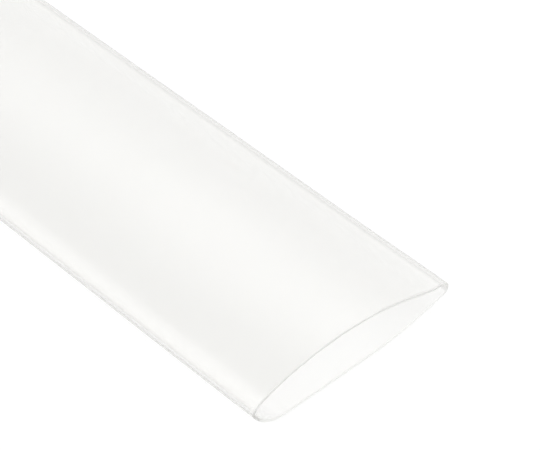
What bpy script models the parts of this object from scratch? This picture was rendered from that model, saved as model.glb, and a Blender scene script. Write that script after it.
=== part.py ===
# A piece of clear heat shrink tube, supplied flat and lying on its lower wall.
# Metres, +Z up. The tube runs along X. Its origin is at the middle of its length, midway
# between its two folds, on the surface that it lies on.

import math

import bmesh
import bpy
import numpy as np

# The tube as it is sold, before it is shrunk
BORE_DIAMETER = 0.0254  # when the tube is held round
WALL_THICKNESS = 0.0005
CUT_LENGTH = 0.1524

# The section is a closed chain of arcs along the middle of the wall. It starts on the lower
# wall, runs to the shut fold at +Y, back over the top and down the open fold at -Y.
RISE_RADIUS = 0.050  # the lower wall where it leaves the floor for the shut fold
SHUT_FOLD_RADIUS = 0.0010
PINCH_RADIUS = 0.016  # the hollow in the upper wall beside the shut fold
SHOULDER_RADIUS = 0.007  # the upper wall where it turns down to the open fold
OPEN_FOLD_RADIUS = 0.0009

# How steeply the wall leans where one arc meets the next, at a cut end and in the body.
# A cut end gapes, and its upper wall is pinched beside the shut fold.
END_RISE = math.radians(18)  # into the shut fold, from below
END_LIFT = math.radians(4)  # out of the shut fold, above
END_SLOPE = math.radians(20)  # past the pinch
END_DROP = math.radians(17)  # into the shoulder
END_TUCK = math.radians(43)  # into the open fold
BODY_RISE = math.radians(17)
BODY_LIFT = math.radians(10)
BODY_SLOPE = math.radians(18)
BODY_DROP = math.radians(14)
BODY_TUCK = math.radians(39)
UNDERTUCK = math.radians(62)  # out of the open fold, below

END_REACH = 0.024  # how far back from a cut the section eases into that of the body
EASING_STATIONS = 6  # in that reach

# Facets along each stretch of the section, in order from the floor stretch
FACETS = (1, 8, 12, 4, 10, 5, 8, 8)

WALL_COLOUR = (0.90, 0.91, 0.88, 1.0)
WALL_ROUGHNESS = 0.22
WALL_IOR = 1.5


def clear_scene():
    for old in list(bpy.data.objects):
        bpy.data.objects.remove(old, do_unlink=True)


def clear_polyolefin():
    material = bpy.data.materials.new("clear_polyolefin")
    material.use_nodes = True
    shader = material.node_tree.nodes["Principled BSDF"]
    shader.inputs["Base Color"].default_value = WALL_COLOUR
    shader.inputs["Roughness"].default_value = WALL_ROUGHNESS
    shader.inputs["Metallic"].default_value = 0.0
    shader.inputs["IOR"].default_value = WALL_IOR
    shader.inputs["Transmission Weight"].default_value = 1.0
    return material


def arc_step(start, end):
    # How far across and up a unit arc goes while its direction turns from start to end
    way = 1 if end >= start else -1
    return np.array([math.sin(end) - math.sin(start), math.cos(start) - math.cos(end)]) * way


def headings(openness):
    # The wall's direction at each joint of the chain: 0 runs to +Y, and pi back to -Y.
    # Openness is 1 at a cut end and 0 in the body.
    def between(body, end):
        return body + (end - body) * openness

    return [
        0.0,
        between(BODY_RISE, END_RISE),
        math.pi - between(BODY_LIFT, END_LIFT),
        math.pi - between(BODY_SLOPE, END_SLOPE),
        math.pi + between(BODY_DROP, END_DROP),
        math.pi + between(BODY_TUCK, END_TUCK),
        2 * math.pi - UNDERTUCK,
        2 * math.pi,
    ]


def solve_chain(turns):
    # The floor stretch, the crown's radius and the under shoulder's radius follow from the
    # rest: the chain closes on itself, and is as long as the wall of the round tube.
    around = math.pi * (BORE_DIAMETER + WALL_THICKNESS)
    radii = [RISE_RADIUS, SHUT_FOLD_RADIUS, PINCH_RADIUS, None, SHOULDER_RADIUS, OPEN_FOLD_RADIUS, None]
    rows = [np.array([1.0, 0.0, 1.0])]
    wanted = np.array([0.0, 0.0, around])
    for radius, start, end in zip(radii, turns, turns[1:]):
        reach = np.array([*arc_step(start, end), abs(end - start)])
        if radius is None:
            rows.append(reach)
        else:
            wanted -= reach * radius
    floor_stretch, crown_radius, under_radius = np.linalg.solve(np.array(rows).T, wanted)
    radii[3] = crown_radius
    radii[6] = under_radius
    return floor_stretch, radii


def section(openness):
    # Points along the middle of the wall as (across, up, outward across, outward up)
    turns = headings(openness)
    floor_stretch, radii = solve_chain(turns)
    points = []
    place = np.zeros(2)
    for index in range(FACETS[0]):
        share = index / FACETS[0]
        points.append((floor_stretch * share, 0.0, 0.0, -1.0))
    place[0] = floor_stretch
    for radius, start, end, facets in zip(radii, turns, turns[1:], FACETS[1:]):
        for index in range(facets):
            heading = start + (end - start) * index / facets
            across, up = place + arc_step(start, heading) * radius
            points.append((across, up, math.sin(heading), -math.cos(heading)))
        place = place + arc_step(start, end) * radius
    return np.array(points)


def rings(openness):
    # The outer and inner outline of one station, centred between the folds, on the floor
    line = section(openness)
    middle, outward = line[:, :2], line[:, 2:]
    half_wall = outward * WALL_THICKNESS / 2
    centre = (middle[:, 0].min() + middle[:, 0].max()) / 2
    seat = np.array([-centre, WALL_THICKNESS / 2])
    return middle + half_wall + seat, middle - half_wall + seat


def stations():
    # Places along the tube, each with its openness, from the cut at -X to the cut at +X
    places = []
    for index in range(EASING_STATIONS + 1):
        share = index / EASING_STATIONS
        openness = 1 - share * share * (3 - 2 * share)
        places.append((CUT_LENGTH / 2 - END_REACH * share, openness))
    return [(-x, openness) for x, openness in places] + places[::-1]


def loft(outlines, mesh):
    # Walls between neighbouring outlines, joined at both cut ends by a flat rim
    def join(loop_a, loop_b):
        for index in range(len(loop_a)):
            after = (index + 1) % len(loop_a)
            mesh.faces.new((loop_a[index], loop_a[after], loop_b[after], loop_b[index]))

    loops = []
    for x, outer, inner in outlines:
        loops.append([[mesh.verts.new((x, across, up)) for across, up in ring] for ring in (outer, inner)])
    for here, there in zip(loops, loops[1:]):
        join(here[0], there[0])
        join(there[1], here[1])
    join(loops[0][1], loops[0][0])
    join(loops[-1][0], loops[-1][1])
    bmesh.ops.recalc_face_normals(mesh, faces=mesh.faces)


def make_tube(material):
    mesh = bmesh.new()
    loft([(x, *rings(openness)) for x, openness in stations()], mesh)
    data = bpy.data.meshes.new("heat_shrink_tube")
    mesh.to_mesh(data)
    mesh.free()
    data.materials.append(material)
    data.shade_smooth()
    data.set_sharp_from_angle(angle=math.radians(40))
    tube = bpy.data.objects.new("heat_shrink_tube", data)
    bpy.context.scene.collection.objects.link(tube)
    return tube


clear_scene()
make_tube(clear_polyolefin())
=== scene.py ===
import math

import bpy
import numpy as np
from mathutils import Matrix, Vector


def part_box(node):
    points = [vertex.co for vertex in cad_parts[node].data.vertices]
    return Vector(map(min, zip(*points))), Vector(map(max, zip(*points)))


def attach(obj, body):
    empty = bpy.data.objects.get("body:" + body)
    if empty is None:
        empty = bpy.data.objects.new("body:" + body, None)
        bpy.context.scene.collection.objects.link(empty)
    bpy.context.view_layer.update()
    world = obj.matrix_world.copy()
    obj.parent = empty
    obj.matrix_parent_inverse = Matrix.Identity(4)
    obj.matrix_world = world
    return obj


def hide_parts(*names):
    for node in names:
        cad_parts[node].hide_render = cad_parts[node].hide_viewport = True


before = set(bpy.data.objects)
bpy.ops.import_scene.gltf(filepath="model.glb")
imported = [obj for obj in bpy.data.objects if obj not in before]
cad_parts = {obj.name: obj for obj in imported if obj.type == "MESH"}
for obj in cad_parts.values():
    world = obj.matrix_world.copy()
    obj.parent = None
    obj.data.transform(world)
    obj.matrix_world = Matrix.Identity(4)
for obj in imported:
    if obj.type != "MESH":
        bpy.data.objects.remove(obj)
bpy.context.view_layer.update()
rad = math.radians


class Wire:
    # One output socket of a node tree. Sums and products of wires add Math nodes.
    def __init__(self, tree, socket=None):
        self.tree = tree
        self.socket = socket

    def node(self, kind, settings=None, sockets=None, out=0):
        # Adds any node: its settings first, then the values or wires of its sockets
        made = self.tree.nodes.new(kind)
        for name, value in (settings or {}).items():
            if name == "stops":
                fillRamp(made.color_ramp, value)
            elif name == "keeps":
                for label, dataType in value.items():
                    made.capture_items.new(dataType, label)
            else:
                setattr(made, name, value)
        for key, value in (sockets or {}).items():
            if isinstance(value, Wire):
                self.tree.links.new(value.socket, made.inputs[key])
            else:
                made.inputs[key].default_value = value
        return Wire(self.tree, made.outputs[out] if made.outputs else None)

    def also(self, out):
        # Another output of the node that this wire comes from
        return Wire(self.tree, self.socket.node.outputs[out])

    def math(self, operation, *terms):
        return self.node("ShaderNodeMath", {"operation": operation}, dict(enumerate(terms)))

    def __add__(self, other):
        return self.math("ADD", self, other)

    def __radd__(self, other):
        return self.math("ADD", other, self)

    def __sub__(self, other):
        return self.math("SUBTRACT", self, other)

    def __rsub__(self, other):
        return self.math("SUBTRACT", other, self)

    def __mul__(self, other):
        return self.math("MULTIPLY", self, other)

    def __rmul__(self, other):
        return self.math("MULTIPLY", other, self)

    def __truediv__(self, other):
        return self.math("DIVIDE", self, other)

    def __rtruediv__(self, other):
        return self.math("DIVIDE", other, self)


def fillRamp(ramp, stops):
    # stops are (place, grey)
    while len(ramp.elements) > 1:
        ramp.elements.remove(ramp.elements[-1])
    for index, (place, grey) in enumerate(stops):
        element = ramp.elements[0] if index == 0 else ramp.elements.new(place)
        element.position = place
        element.color = (grey, grey, grey, 1)


def smoothBetween(wire, low, high):
    # 0 below low, 1 above high, and an even rise between them
    return wire.node("ShaderNodeMapRange", {"interpolation_type": "SMOOTHSTEP"},
                     {"Value": wire, "From Min": low, "From Max": high})


def mixVectors(first, second, share):
    return share.node("ShaderNodeMix", {"data_type": "VECTOR"},
                      {"Factor": share, 4: first, 5: second}, out=1)


def mixColours(first, second, share):
    return share.node("ShaderNodeMix", {"data_type": "RGBA"},
                      {"Factor": share, 6: first, 7: second}, out=2)


# The tube's section, as a closed chain of arcs along the middle of the wall. It starts on
# the floor, runs to the shut fold at +Y, back over the top and down the open fold at -Y.
tube = {
    "bore": 0.0254,  # held round
    "wall": 0.0005,
    "length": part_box("heat_shrink_tube")[1].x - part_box("heat_shrink_tube")[0].x,
    "halfWidth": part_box("heat_shrink_tube")[1].y,
    "riseRadius": 0.050,
    "shutFoldRadius": 0.0010,
    "pinchRadius": 0.016,
    "shoulderRadius": 0.007,
    "openFoldRadius": 0.0009,
    "mouthLeans": (18, 4, 20, 17, 43, 62),  # degrees: rise, lift, slope, drop, tuck, undertuck
    "bodyLeans": (17, 6, 18, 14, 39, 62),
    "facets": (16, 26, 26, 14, 44, 14, 20, 26),  # from the floor stretch round
    "easing": 8,  # rounds of smoothing
    "stations": 121,  # along the length, closer near the cuts
    "endReach": 0.024,  # over which the mouth eases into the body
    "gapeFront": 1.0,  # how far the mouth at +X is open, and the one at -X
    "gapeRear": 0.82,
    "gapeMeet": 0.01,  # how far from the middle the one gives way to the other
    "bodyWander": 0.22,  # of openness, along the body
    "bodyWanderPace": 22.0,  # per metre, as the other paces are
    "crownWaves": 0.012,  # share of the height
    "crownWavePace": 30.0,
    "crownWaveAcross": 0.8,  # of that pace, across the tube
    "cutRounding": 0.00008,
    "cutFinish": 1.6,  # how many roundings deep the cut's finish goes
    "cutWander": 0.00010,  # how far the knife strayed
    "cutWanderPace": 260.0,
    "cutWanderReach": 0.004,
    "foldReach": 0.0008,  # how far the darker band down each fold reaches: the creased film's haze and painted shade
    "foldCore": 0.3,  # the share of it at full strength
    "openFoldHazeAndShade": 0.10,  # how marked the darker band is at the open fold, beside the shut one
    "seed": 7.0,
}


def arcStep(start, end):
    # How far across and up a unit arc goes while it turns from start to end
    way = 1 if end >= start else -1
    return np.array([math.sin(end) - math.sin(start), math.cos(start) - math.cos(end)]) * way


def sectionPoints(leans):
    # Places and outward directions along the middle of the wall, resting on the floor
    rise, lift, slope, drop, tuck, undertuck = (rad(lean) for lean in leans)
    turns = [0, rise, math.pi - lift, math.pi - slope, math.pi + drop, math.pi + tuck,
             2 * math.pi - undertuck, 2 * math.pi]
    # The floor stretch and the two radii left as None make the chain close at its length
    radii = [tube["riseRadius"], tube["shutFoldRadius"], tube["pinchRadius"], None,
             tube["shoulderRadius"], tube["openFoldRadius"], None]
    rows = [np.array([1.0, 0.0, 1.0])]
    left = np.array([0.0, 0.0, math.pi * (tube["bore"] + tube["wall"])])
    for radius, start, end in zip(radii, turns, turns[1:]):
        reach = np.array([*arcStep(start, end), abs(end - start)])
        if radius is None:
            rows.append(reach)
        else:
            left -= reach * radius
    floorStretch, radii[3], radii[6] = np.linalg.solve(np.array(rows).T, left)
    places = []
    for index in range(tube["facets"][0]):
        places.append((floorStretch * index / tube["facets"][0], 0))
    corner = np.array([floorStretch, 0.0])
    for radius, start, end, facets in zip(radii, turns, turns[1:], tube["facets"][1:]):
        for index in range(facets):
            heading = start + (end - start) * index / facets
            places.append(tuple(corner + arcStep(start, heading) * radius))
        corner = corner + arcStep(start, end) * radius
    line = np.array(places)
    for _ in range(tube["easing"]):  # eases the bend from each arc into the next
        line = (np.roll(line, 1, axis=0) + 2 * line + np.roll(line, -1, axis=0)) / 4
    along = np.roll(line, -1, axis=0) - np.roll(line, 1, axis=0)
    along /= np.hypot(along[:, 0], along[:, 1])[:, None]
    middle = (line[:, 0].min() + line[:, 0].max()) / 2
    seat = tube["wall"] / 2 - line[:, 1].min()
    return [(0, y - middle, z + seat) for y, z in line], [(0, z, -y) for y, z in along]


def makeSections():
    # A mesh of loose points: the mouth's section and then the body's, which the tree reads
    places = []
    outward = []
    for leans in (tube["mouthLeans"], tube["bodyLeans"]):
        morePlaces, moreOutward = sectionPoints(leans)
        places += morePlaces
        outward += moreOutward
    mesh = bpy.data.meshes.new("clear_tube")
    mesh.from_pydata(places, [], [])
    mesh.attributes.new("outward", "FLOAT_VECTOR", "POINT").data.foreach_set(
        "vector", np.array(outward, dtype=np.float32).ravel())
    return mesh


def wallInputs():
    # The kind and the value of each of the tree's inputs
    return {
        "Points Around": ("Int", sum(tube["facets"])),
        "Stations": ("Int", tube["stations"]),
        "Length": ("Float", tube["length"]),
        "Half Width": ("Float", tube["halfWidth"]),
        "Wall": ("Float", tube["wall"]),
        "End Reach": ("Float", tube["endReach"]),
        "Gape Front": ("Float", tube["gapeFront"]),
        "Gape Rear": ("Float", tube["gapeRear"]),
        "Gape Meet": ("Float", tube["gapeMeet"]),
        "Body Wander": ("Float", tube["bodyWander"]),
        "Body Wander Pace": ("Float", tube["bodyWanderPace"]),
        "Crown Waves": ("Float", tube["crownWaves"]),
        "Crown Wave Pace": ("Float", tube["crownWavePace"]),
        "Crown Wave Across": ("Float", tube["crownWaveAcross"]),
        "Cut Rounding": ("Float", tube["cutRounding"]),
        "Cut Finish": ("Float", tube["cutFinish"]),
        "Cut Wander": ("Float", tube["cutWander"]),
        "Cut Wander Pace": ("Float", tube["cutWanderPace"]),
        "Cut Wander Reach": ("Float", tube["cutWanderReach"]),
        "Fold Reach": ("Float", tube["foldReach"]),
        "Fold Core": ("Float", tube["foldCore"]),
        "Open Fold Haze And Shade": ("Float", tube["openFoldHazeAndShade"]),
        "Seed": ("Float", tube["seed"]),
        "Material": ("Material", clearMaterial()),
    }


def wallTree(inputs):
    # The wall is a long thin loop, down the outside and back up the bore, carried round the
    # section: a ring of rings, whose every point is then put in its place.
    tree = bpy.data.node_groups.new("tube wall", "GeometryNodeTree")
    tree.interface.new_socket("Sections", in_out="INPUT", socket_type="NodeSocketGeometry")
    for name, (kind, value) in inputs.items():
        tree.interface.new_socket(name, in_out="INPUT", socket_type="NodeSocket" + kind)
    tree.interface.new_socket("Geometry", in_out="OUTPUT", socket_type="NodeSocketGeometry")
    given = Wire(tree).node("NodeGroupInput")
    size = given.also
    around = size("Points Around")
    stations = size("Stations")
    length = size("Length")
    index = given.node("GeometryNodeInputIndex")

    def ring(points, label):
        circle = given.node("GeometryNodeCurvePrimitiveCircle", {},
                            {"Resolution": points, "Radius": length})
        return given.node("GeometryNodeCaptureAttribute", {"keeps": {label: "INT"}},
                          {0: circle, 1: index})

    path = ring(around, "place")
    loop = ring(stations * 2, "step")
    wallRing = given.node("GeometryNodeCurveToMesh", {}, {"Curve": path, "Profile Curve": loop})
    place = path.also(1)
    step = loop.also(1)

    # Along the length: out on one side of the wall and back on the other
    outside = step.math("LESS_THAN", step, stations)
    station = outside * step + (1 - outside) * (2 * stations - 1 - step)
    share = station / (stations - 1)
    along = length / 2 * share.math("SINE", (share - 0.5) * math.pi)
    toCut = length / 2 - along.math("ABSOLUTE", along)

    # How open the section is there
    wander = along.node("ShaderNodeTexNoise", {"noise_dimensions": "1D"}, {
        "W": along * size("Body Wander Pace") + size("Seed"), "Scale": 1.0, "Detail": 1.0})
    nearCut = 1 - smoothBetween(toCut, 0.0, size("End Reach"))
    front = smoothBetween(along, size("Gape Meet") * -1, size("Gape Meet"))
    gape = size("Gape Rear") * (1 - front) + size("Gape Front") * front
    body = (wander * 2 - 1) * size("Body Wander")
    openness = nearCut * gape + (1 - nearCut) * body

    def sampled(value, offset):
        return given.node("GeometryNodeSampleIndex", {"data_type": "FLOAT_VECTOR"},
                          {"Geometry": given, "Value": value, "Index": place + offset})

    spot = given.node("GeometryNodeInputPosition")
    lean = given.node("GeometryNodeInputNamedAttribute", {"data_type": "FLOAT_VECTOR"},
                      {"Name": "outward"})
    middle = mixVectors(sampled(spot, around), sampled(spot, 0), openness)
    outward = mixVectors(sampled(lean, around), sampled(lean, 0), openness)
    for mix in (middle, outward):
        mix.socket.node.clamp_factor = False
    outward = outward.node("ShaderNodeVectorMath", {"operation": "NORMALIZE"}, {0: outward})

    # The wall thins at the cut, where its edges are rounded
    rounding = size("Cut Rounding")
    past = rounding - toCut.math("MINIMUM", toCut, rounding)
    inset = rounding - past.math("SQRT", rounding * rounding - past * past)
    reach = (size("Wall") / 2 - inset) * (outside * 2 - 1)
    middlePoint = middle.node("ShaderNodeSeparateXYZ", {}, {0: middle})
    outwardPoint = outward.node("ShaderNodeSeparateXYZ", {}, {0: outward})
    y = middlePoint.also("Y") + outwardPoint.also("Y") * reach
    z = middlePoint.also("Z") + outwardPoint.also("Z") * reach

    # Soft waves in the film, and the knife's wander near the cut
    swell = along.node("ShaderNodeTexNoise", {"noise_dimensions": "4D"}, {
        "Vector": along.node("ShaderNodeCombineXYZ", {},
                             {"X": along, "Y": y * size("Crown Wave Across"), "Z": 0.0}),
        "W": size("Seed"), "Scale": size("Crown Wave Pace"), "Detail": 1.0})
    z = z * (1 + (swell * 2 - 1) * size("Crown Waves"))
    stray = along.node("ShaderNodeTexNoise", {"noise_dimensions": "4D"}, {
        "Vector": along.node("ShaderNodeCombineXYZ", {}, {"X": along, "Y": y, "Z": z}),
        "W": size("Seed") + 3, "Scale": size("Cut Wander Pace"), "Detail": 2.0})
    atCut = 1 - smoothBetween(toCut, 0.0, size("Cut Wander Reach"))
    x = along + (stray * 2 - 1) * size("Cut Wander") * atCut
    finished = given.node("GeometryNodeSetPosition", {}, {
        "Geometry": wallRing, "Position": x.node("ShaderNodeCombineXYZ", {}, {"X": x, "Y": y, "Z": z})})

    # What the film's material reads
    cut = 1 - smoothBetween(toCut, 0.0, rounding * size("Cut Finish"))
    # A darker band down each fold for the film's colour: partly the creased film's haze, partly painted
    # shade standing in for the grey edge lines that grazing light gives
    fromFold = size("Half Width") - y.math("ABSOLUTE", y)
    creaseHazeAndShade = 1 - smoothBetween(fromFold, size("Fold Reach") * size("Fold Core"), size("Fold Reach"))
    openFold = y.math("LESS_THAN", y, 0.0)
    creaseHazeAndShade = creaseHazeAndShade * (1 - openFold * (1 - size("Open Fold Haze And Shade")))
    for name, value in (("cut", cut), ("bore_side", 1 - outside), ("fold", creaseHazeAndShade)):
        finished = given.node("GeometryNodeStoreNamedAttribute", {"data_type": "FLOAT"},
                              {"Geometry": finished, "Name": name, "Value": value})
    finished = given.node("GeometryNodeFlipFaces", {}, {0: finished})  # so that they point outwards
    finished = given.node("GeometryNodeSetShadeSmooth", {}, {"Geometry": finished})
    finished = given.node("GeometryNodeRealizeInstances", {}, {"Geometry": finished})
    finished = given.node("GeometryNodeSetMaterial", {},
                          {"Geometry": finished, "Material": given.also("Material")})
    given.node("NodeGroupOutput", {}, {0: finished})
    return tree


clearFilm = {
    "colour": (0.960, 0.959, 0.952, 1),
    "ior": 1.50,
    "depthColour": (0.76, 0.755, 0.73, 1),  # what light keeps of its colour deep in the wall
    "depthDensity": 25.0,  # per metre
    # Below 0.27 with the haze and lines on it: past that, a denoiser is led by the film and
    # not by the floor, and draws marks where the two meet
    "roughness": 0.24,
    "boreRoughness": 0.01,  # added on the bore's side
    "cutRoughness": 0.30,  # added on the cut
    "hazeRoughness": 0.05,
    "lineRoughness": 0.03,
    "haze": 60.0,  # patches per metre
    "hazeDetail": 4.0,
    "hazeFineness": 0.6,
    "dieLines": 700.0,  # across the tube, per metre
    "dieDrawn": 0.02,  # of that pace, along it
    "dieDetail": 3.0,
    "grain": 2400.0,  # per metre
    "grainDetail": 2.0,
    "specks": 130.0,  # places for one, per metre
    "speckEdge": (0.02, 0.05),  # of the spacing
    "speckChance": (0.78, 0.80),  # places that draw less than this stay clear
    "speckColour": (0.86, 0.86, 0.85, 1),
    "bumpParts": (0.4, 0.05, 0.3, 0.6),  # of the die lines, the grain, the specks and the haze
    "bumpStrength": 0.25,
    "bumpHeight": 0.00004,
    "foldHazeAndShadeColour": (0.69, 0.685, 0.67, 1),  # darker down each side along the folds: the creased film's haze and painted shade for the grey edge lines
    # The cut's colour at the open fold and at the shut one, and how far from the middle they meet:
    # painted shade, darker at the open fold
    "cutShadeColours": ((0.80, 0.798, 0.79, 1), (0.97, 0.968, 0.96, 1)),
    "cutShadeReach": 0.016,
    "matteColour": (0.94, 0.94, 0.92, 1),  # the knife left the cut partly matt
    "matteRoughness": 0.7,
    "matteGloss": 0.2,
    "matteAndPaintedLightShares": (0.68, 0.19),  # on the lower wall and on the upper: partly the knife's matt finish, partly painted light, lower rim lighter and upper rim darker
    "matteAndPaintedLightHeights": (0.0012, 0.0034),  # between which the one gives way to the other
}


def clearMaterial():
    print("tube: clear film")
    film = clearFilm
    material = bpy.data.materials.new("clear_polyolefin_film")
    material.use_nodes = True
    tree = material.node_tree
    tree.nodes.clear()
    start = Wire(tree)
    where = start.node("ShaderNodeTexCoord", out="Object")
    point = start.node("ShaderNodeSeparateXYZ", {}, {0: where})
    drawn = start.node("ShaderNodeMapping", {}, {
        "Vector": where, "Scale": (film["dieDrawn"], 1.0, 1.0)})
    lines = start.node("ShaderNodeTexNoise", {}, {
        "Vector": drawn, "Scale": film["dieLines"], "Detail": film["dieDetail"]})
    haze = start.node("ShaderNodeTexNoise", {}, {
        "Vector": where, "Scale": film["haze"],
        "Detail": film["hazeDetail"], "Roughness": film["hazeFineness"]})
    grain = start.node("ShaderNodeTexNoise", {}, {
        "Vector": where, "Scale": film["grain"], "Detail": film["grainDetail"]})
    cell = start.node("ShaderNodeTexVoronoi", {}, {"Vector": where, "Scale": film["specks"]})
    pick = start.node("ShaderNodeSeparateColor", {}, {0: cell.also("Color")})
    speck = (1 - smoothBetween(cell, *film["speckEdge"])) * smoothBetween(pick, *film["speckChance"])
    cut = start.node("ShaderNodeAttribute", {"attribute_name": "cut"}, out="Fac")
    bore = start.node("ShaderNodeAttribute", {"attribute_name": "bore_side"}, out="Fac")
    fold = start.node("ShaderNodeAttribute", {"attribute_name": "fold"}, out="Fac")

    linePart, grainPart, speckPart, hazePart = film["bumpParts"]
    height = lines * linePart + grain * grainPart + speck * speckPart + haze * hazePart
    bump = start.node("ShaderNodeBump", {}, {
        "Height": height, "Strength": film["bumpStrength"], "Distance": film["bumpHeight"]})
    roughness = (film["roughness"] + (haze - 0.5) * film["hazeRoughness"]
                 + (lines - 0.5) * film["lineRoughness"]
                 + bore * film["boreRoughness"] + cut * film["cutRoughness"])
    colour = mixColours(film["colour"], film["speckColour"], speck)
    # Painted shade, with the creased film's haze, darkens the band down each fold
    colour = mixColours(colour, film["foldHazeAndShadeColour"], fold)
    # Painted shade on the cut: darker towards the open fold, near the film's own colour at the shut one
    across = smoothBetween(point.also("Y"), -film["cutShadeReach"], film["cutShadeReach"])
    colour = mixColours(colour, mixColours(*film["cutShadeColours"], across), cut)
    clear = start.node("ShaderNodeBsdfPrincipled", {}, {
        "Base Color": colour, "Roughness": roughness, "IOR": film["ior"],
        "Transmission Weight": 1.0, "Normal": bump})
    matte = start.node("ShaderNodeBsdfPrincipled", {}, {
        "Base Color": film["matteColour"], "Roughness": film["matteRoughness"],
        "Specular IOR Level": film["matteGloss"], "Normal": bump})
    # More of the lit matt lobe low on the cut: the knife's finish, and painted light that makes the
    # lower rim lighter and the upper rim darker
    upper = smoothBetween(point.also("Z"), *film["matteAndPaintedLightHeights"])
    lowerShare, upperShare = film["matteAndPaintedLightShares"]
    matteAndPaintedLightShare = cut * (lowerShare + upper * (upperShare - lowerShare))
    surface = start.node("ShaderNodeMixShader", {}, {0: matteAndPaintedLightShare, 1: clear, 2: matte})
    depth = start.node("ShaderNodeVolumeAbsorption", {}, {
        "Color": film["depthColour"], "Density": film["depthDensity"]})
    start.node("ShaderNodeOutputMaterial", {}, {"Surface": surface, "Volume": depth})
    return material


def makeTube():
    print("tube: sections and wall")
    piece = bpy.data.objects.new("clear_tube", makeSections())
    bpy.context.scene.collection.objects.link(piece)
    inputs = wallInputs()
    build = piece.modifiers.new("wall", "NODES")
    build.node_group = wallTree(inputs)
    for item in build.node_group.interface.items_tree:
        if item.name in inputs:
            build[item.identifier] = inputs[item.name][1]
    seen = piece.evaluated_get(bpy.context.evaluated_depsgraph_get())
    mesh = bpy.data.meshes.new_from_object(seen)
    piece.modifiers.remove(build)
    piece.data = mesh
    mesh.name = "clear_tube"
    print("tube:", len(mesh.vertices), "points,", len(mesh.polygons), "faces")
    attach(piece, "root")
    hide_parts("heat_shrink_tube")


studio = {
    "floorSize": 8.0,
    "floorDrop": 0.00006,  # below the tube, so that the two surfaces don't meet
    "floorColour": (0.5, 0.5, 0.5, 1),
    "floorRoughness": 0.9,
    "floorGlow": 0.485,  # the floor is a light table, which shines a little by itself
    "sky": ((0.0, 1.27), (0.25, 1.10), (0.5, 1.06), (1.0, 0.91)),  # against the sine of the height
    # Soft boxes: azimuth, height, half width and soft edge in degrees, and light
    "boxes": (
        (214, 51, 15, 9, 0.62),  # behind the tube, mirrored in its crown
        (311, 35, 8, 15, 1.05),  # to the left, mirrored in the shoulder
        (251, 63, 5, 18, -0.80),  # a dark gap between the two
        (60, 60, 45, 40, 0.24),  # over the camera
        (45, 20, 20, 20, -0.80),  # a dark gap under it, mirrored when the tube is seen from behind
    ),
}


def towards(azimuth, elevation):
    # Azimuth 0 stands at -Y and 90 at +X
    a, e = rad(azimuth), rad(elevation)
    return Vector((math.sin(a) * math.cos(e), -math.cos(a) * math.cos(e), math.sin(e)))


def makeFloor():
    print("studio: floor")
    half = studio["floorSize"] / 2
    drop = -studio["floorDrop"]
    corners = [(-half, -half, drop), (half, -half, drop), (half, half, drop), (-half, half, drop)]
    mesh = bpy.data.meshes.new("floor")
    mesh.from_pydata(corners, [], [(0, 1, 2, 3)])
    floor = bpy.data.objects.new("floor", mesh)
    bpy.context.scene.collection.objects.link(floor)
    material = bpy.data.materials.new("pale_floor")
    material.use_nodes = True
    shader = material.node_tree.nodes["Principled BSDF"]
    shader.inputs["Base Color"].default_value = studio["floorColour"]
    shader.inputs["Roughness"].default_value = studio["floorRoughness"]
    shader.inputs["Specular IOR Level"].default_value = 0.0
    shader.inputs["Emission Color"].default_value = (1, 1, 1, 1)
    shader.inputs["Emission Strength"].default_value = studio["floorGlow"]
    material.cycles.emission_sampling = "NONE"
    mesh.materials.append(material)


def makeSky():
    print("studio: sky")
    world = bpy.data.worlds.new("soft sky")
    bpy.context.scene.world = world
    world.use_nodes = True
    world.cycles.sampling_method = "NONE"  # no lamp in it is small enough to need aiming at
    world.node_tree.nodes.clear()
    start = Wire(world.node_tree)
    toward = start.node("ShaderNodeTexCoord", out="Generated")
    height = start.node("ShaderNodeSeparateXYZ", {}, {0: toward}, out="Z")
    light = start.node("ShaderNodeValToRGB", {"stops": studio["sky"]}, {0: height})
    light = start.node("ShaderNodeSeparateColor", {}, {0: light})
    for azimuth, elevation, halfWidth, edge, level in studio["boxes"]:
        facing = start.node("ShaderNodeVectorMath", {"operation": "DOT_PRODUCT"},
                            {0: toward, 1: towards(azimuth, elevation)}, out="Value")
        outer = math.cos(rad(halfWidth + edge))
        inner = math.cos(rad(halfWidth))
        light = light + level * smoothBetween(facing, outer, inner)
    sky = start.node("ShaderNodeBackground", {}, {"Color": (1, 1, 1, 1), "Strength": light})
    start.node("ShaderNodeOutputWorld", {}, {"Surface": sky})


camera = {
    "azimuth": 46.94,  # degrees from the -Y side towards +X
    "elevation": 42.47,
    "distance": 0.4008,
    "lens": 176.3,  # millimetres, as the sensor's width is
    "sensorWidth": 36.0,
    "clip": (0.01, 50.0),
    "aim": (0.0459, 0.0121, 0.0),
}


def makeCamera():
    print("camera")
    back = towards(camera["azimuth"], camera["elevation"])
    data = bpy.data.cameras.new("camera")
    data.lens = camera["lens"]
    data.sensor_width = camera["sensorWidth"]
    data.clip_start, data.clip_end = camera["clip"]
    seer = bpy.data.objects.new("camera", data)
    seer.location = Vector(camera["aim"]) + back * camera["distance"]
    seer.rotation_mode = "QUATERNION"
    seer.rotation_quaternion = (-back).to_track_quat("-Z", "Y")
    bpy.context.scene.collection.objects.link(seer)
    bpy.context.scene.camera = seer
    bpy.context.scene.view_settings.view_transform = "Standard"


# Light goes through four faces to the floor and four back, and runs along inside the wall
lightPaths = {
    "blur_glossy": 0.0,
    "min_light_bounces": 24,
    "max_bounces": 40,
    "transmission_bounces": 40,
    "glossy_bounces": 32,
}


def setLightPaths():
    for name, value in lightPaths.items():
        setattr(bpy.context.scene.cycles, name, value)


makeCamera()
setLightPaths()
makeFloor()
makeSky()
makeTube()
